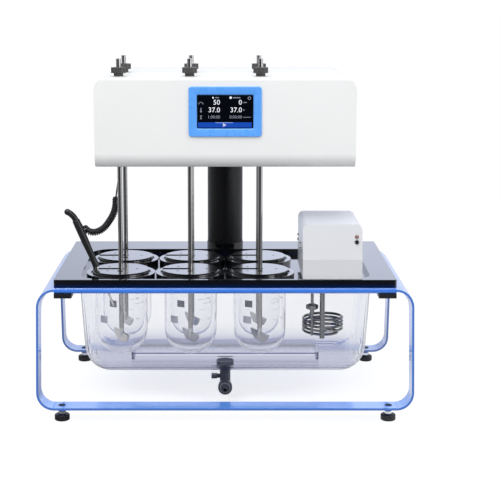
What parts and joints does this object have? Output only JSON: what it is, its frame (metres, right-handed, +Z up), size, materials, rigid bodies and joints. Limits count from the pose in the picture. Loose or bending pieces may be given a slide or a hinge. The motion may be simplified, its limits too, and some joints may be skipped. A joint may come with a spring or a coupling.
{
  "type": "dissolution tester",
  "caption": "Bench dissolution tester: glass vessels with paddles in a clear heated water bath, on a bent sheet frame, under a drive head that lifts on a column.",
  "frame": {"origin": "on the bench, under the centre of the frame", "axes": "+Z up, -Y towards the user at the screen, +X to the user's right"},
  "size_m": [0.751, 0.482, 0.7159],
  "materials": {
    "blue_paint": "glossy blue paint on bent sheet steel",
    "black_gloss": "polished black plastic, mirror-like at low angles",
    "black_plastic": "satin black plastic",
    "clear_bath": "clear moulded plastic",
    "vessel_glass": "clear glass with printed marks",
    "steel": "polished stainless steel",
    "white_paint": "white powder coat",
    "base_plate": "pale grey coated plate",
    "motor_paint": "black painted motor housing",
    "lamp_red": "red lens",
    "bezel_blue": "glossy blue plastic",
    "screen_black": "dark glass front of the display",
    "pulley_metal": "turned aluminium",
    "black_rubber": "matte black belt",
    "cord_black": "satin black cord",
    "knob_grey": "dark grey plastic",
    "foot_black": "matte black foot"
  },
  "bodies": {
    "base": {"frame": "blue_paint", "deck": "black_gloss", "deck_clamps": "black_plastic", "bath": "clear_bath", "vessels": "vessel_glass", "vessel_rings": "black_gloss", "column_inner": "steel", "heater_case": "white_paint", "heater_panel": "white_paint", "heater_coil": "steel", "heater_sensor": "steel", "pump_tube": "steel", "pump_motor": "motor_paint", "indicator_lamp": "lamp_red", "valve_body": "black_plastic", "valve_nut": "black_plastic"},
    "head": {"head_cover": "white_paint", "head_base": "base_plate", "screen_bezel": "bezel_blue", "screen_display": "screen_black", "drive_motor": "motor_paint", "drive_belt": "black_rubber", "spindle_bearings": "steel", "column_outer": "black_gloss", "power_inlet": "black_plastic", "probe_cord": "cord_black"},
    "motor_pulley": {"motor_pulley": "pulley_metal"},
    "valve_lever": {"valve_lever": "black_plastic"},
    "heater_button": {"heater_button": "black_plastic"},
    "pump_rotor": {"pump_rotor": "steel"},
    "foot_1": {"foot_1": "foot_black"},
    "foot_2": {"foot_2": "foot_black"},
    "foot_3": {"foot_3": "foot_black"},
    "foot_4": {"foot_4": "foot_black"},
    "spindle_1": {"spindle_1": "pulley_metal"},
    "knob_1": {"knob_1": "knob_grey"},
    "shaft_1": {"shaft_1": "steel"},
    "lid_1": {"lid_1": "black_gloss", "probe_handle": "black_plastic", "probe_stem": "steel"},
    "spindle_2": {"spindle_2": "pulley_metal"},
    "knob_2": {"knob_2": "knob_grey"},
    "shaft_2": {"shaft_2": "steel"},
    "lid_2": {"lid_2": "black_gloss"},
    "spindle_3": {"spindle_3": "pulley_metal"},
    "knob_3": {"knob_3": "knob_grey"},
    "shaft_3": {"shaft_3": "steel"},
    "lid_3": {"lid_3": "black_gloss"},
    "spindle_4": {"spindle_4": "pulley_metal"},
    "knob_4": {"knob_4": "knob_grey"},
    "shaft_4": {"shaft_4": "steel"},
    "lid_4": {"lid_4": "black_gloss"},
    "spindle_5": {"spindle_5": "pulley_metal"},
    "knob_5": {"knob_5": "knob_grey"},
    "shaft_5": {"shaft_5": "steel"},
    "lid_5": {"lid_5": "black_gloss"},
    "spindle_6": {"spindle_6": "pulley_metal"},
    "knob_6": {"knob_6": "knob_grey"},
    "shaft_6": {"shaft_6": "steel"},
    "lid_6": {"lid_6": "black_gloss"}
  },
  "joints": [
    {"name": "head_lift", "type": "slide", "parent": "base", "child": "head", "axis": [0, 0, 1], "range_m": [0, 0.18]},
    {"name": "motor_spin", "type": "hinge", "parent": "head", "child": "motor_pulley", "pos_m": [0.18, -0.052, 0.58], "axis": [0, 0, 1], "continuous": true},
    {"name": "stirrer_spin_1", "type": "hinge", "parent": "head", "child": "spindle_1", "pos_m": [-0.213, -0.123, 0.58], "axis": [0, 0, 1], "continuous": true},
    {"name": "knob_turn_1", "type": "hinge", "parent": "spindle_1", "child": "knob_1", "pos_m": [-0.213, -0.123, 0.689], "axis": [0, 0, 1], "range_deg": [0, 90]},
    {"name": "shaft_height_1", "type": "slide", "parent": "spindle_1", "child": "shaft_1", "axis": [0, 0, 1], "range_m": [-0.01, 0.03]},
    {"name": "lid_lift_1", "type": "slide", "parent": "head", "child": "lid_1", "axis": [0, 0, 1], "range_m": [0, 0.09], "deforming": ["probe_cord"]},
    {"name": "stirrer_spin_2", "type": "hinge", "parent": "head", "child": "spindle_2", "pos_m": [-0.071, -0.123, 0.58], "axis": [0, 0, 1], "continuous": true},
    {"name": "knob_turn_2", "type": "hinge", "parent": "spindle_2", "child": "knob_2", "pos_m": [-0.071, -0.123, 0.689], "axis": [0, 0, 1], "range_deg": [0, 90]},
    {"name": "shaft_height_2", "type": "slide", "parent": "spindle_2", "child": "shaft_2", "axis": [0, 0, 1], "range_m": [-0.01, 0.03]},
    {"name": "lid_lift_2", "type": "slide", "parent": "head", "child": "lid_2", "axis": [0, 0, 1], "range_m": [0, 0.2]},
    {"name": "stirrer_spin_3", "type": "hinge", "parent": "head", "child": "spindle_3", "pos_m": [0.071, -0.123, 0.58], "axis": [0, 0, 1], "continuous": true},
    {"name": "knob_turn_3", "type": "hinge", "parent": "spindle_3", "child": "knob_3", "pos_m": [0.071, -0.123, 0.689], "axis": [0, 0, 1], "range_deg": [0, 90]},
    {"name": "shaft_height_3", "type": "slide", "parent": "spindle_3", "child": "shaft_3", "axis": [0, 0, 1], "range_m": [-0.01, 0.03]},
    {"name": "lid_lift_3", "type": "slide", "parent": "head", "child": "lid_3", "axis": [0, 0, 1], "range_m": [0, 0.2]},
    {"name": "stirrer_spin_4", "type": "hinge", "parent": "head", "child": "spindle_4", "pos_m": [-0.213, 0.019, 0.58], "axis": [0, 0, 1], "continuous": true},
    {"name": "knob_turn_4", "type": "hinge", "parent": "spindle_4", "child": "knob_4", "pos_m": [-0.213, 0.019, 0.689], "axis": [0, 0, 1], "range_deg": [0, 90]},
    {"name": "shaft_height_4", "type": "slide", "parent": "spindle_4", "child": "shaft_4", "axis": [0, 0, 1], "range_m": [-0.01, 0.03]},
    {"name": "lid_lift_4", "type": "slide", "parent": "head", "child": "lid_4", "axis": [0, 0, 1], "range_m": [0, 0.2]},
    {"name": "stirrer_spin_5", "type": "hinge", "parent": "head", "child": "spindle_5", "pos_m": [-0.071, 0.019, 0.58], "axis": [0, 0, 1], "continuous": true},
    {"name": "knob_turn_5", "type": "hinge", "parent": "spindle_5", "child": "knob_5", "pos_m": [-0.071, 0.019, 0.689], "axis": [0, 0, 1], "range_deg": [0, 90]},
    {"name": "shaft_height_5", "type": "slide", "parent": "spindle_5", "child": "shaft_5", "axis": [0, 0, 1], "range_m": [-0.01, 0.03]},
    {"name": "lid_lift_5", "type": "slide", "parent": "head", "child": "lid_5", "axis": [0, 0, 1], "range_m": [0, 0.2]},
    {"name": "stirrer_spin_6", "type": "hinge", "parent": "head", "child": "spindle_6", "pos_m": [0.071, 0.019, 0.58], "axis": [0, 0, 1], "continuous": true},
    {"name": "knob_turn_6", "type": "hinge", "parent": "spindle_6", "child": "knob_6", "pos_m": [0.071, 0.019, 0.689], "axis": [0, 0, 1], "range_deg": [0, 90]},
    {"name": "shaft_height_6", "type": "slide", "parent": "spindle_6", "child": "shaft_6", "axis": [0, 0, 1], "range_m": [-0.01, 0.03]},
    {"name": "lid_lift_6", "type": "slide", "parent": "head", "child": "lid_6", "axis": [0, 0, 1], "range_m": [0, 0.2]},
    {"name": "valve_turn", "type": "hinge", "parent": "base", "child": "valve_lever", "pos_m": [0, -0.1, 0.0559], "axis": [1, 0, 0], "range_deg": [0, 90]},
    {"name": "heater_button_press", "type": "slide", "parent": "base", "child": "heater_button", "axis": [0, 0.9781, -0.2079], "range_m": [0, 0.0015], "stiffness_N_per_m": 400},
    {"name": "pump_spin", "type": "hinge", "parent": "base", "child": "pump_rotor", "pos_m": [0.2, -0.11385, 0.2], "axis": [0, 0, 1], "continuous": true},
    {"name": "foot_level_1", "type": "slide", "parent": "base", "child": "foot_1", "axis": [0, 0, 1], "range_m": [-0.008, 0]},
    {"name": "foot_level_2", "type": "slide", "parent": "base", "child": "foot_2", "axis": [0, 0, 1], "range_m": [-0.008, 0]},
    {"name": "foot_level_3", "type": "slide", "parent": "base", "child": "foot_3", "axis": [0, 0, 1], "range_m": [-0.008, 0]},
    {"name": "foot_level_4", "type": "slide", "parent": "base", "child": "foot_4", "axis": [0, 0, 1], "range_m": [-0.008, 0]}
  ],
  "couplings": [
    {"joint": "stirrer_spin_1", "follows": "motor_spin", "ratio": 1},
    {"joint": "stirrer_spin_2", "follows": "motor_spin", "ratio": 1},
    {"joint": "stirrer_spin_3", "follows": "motor_spin", "ratio": 1},
    {"joint": "stirrer_spin_4", "follows": "motor_spin", "ratio": 1},
    {"joint": "stirrer_spin_5", "follows": "motor_spin", "ratio": 1},
    {"joint": "stirrer_spin_6", "follows": "motor_spin", "ratio": 1}
  ]
}
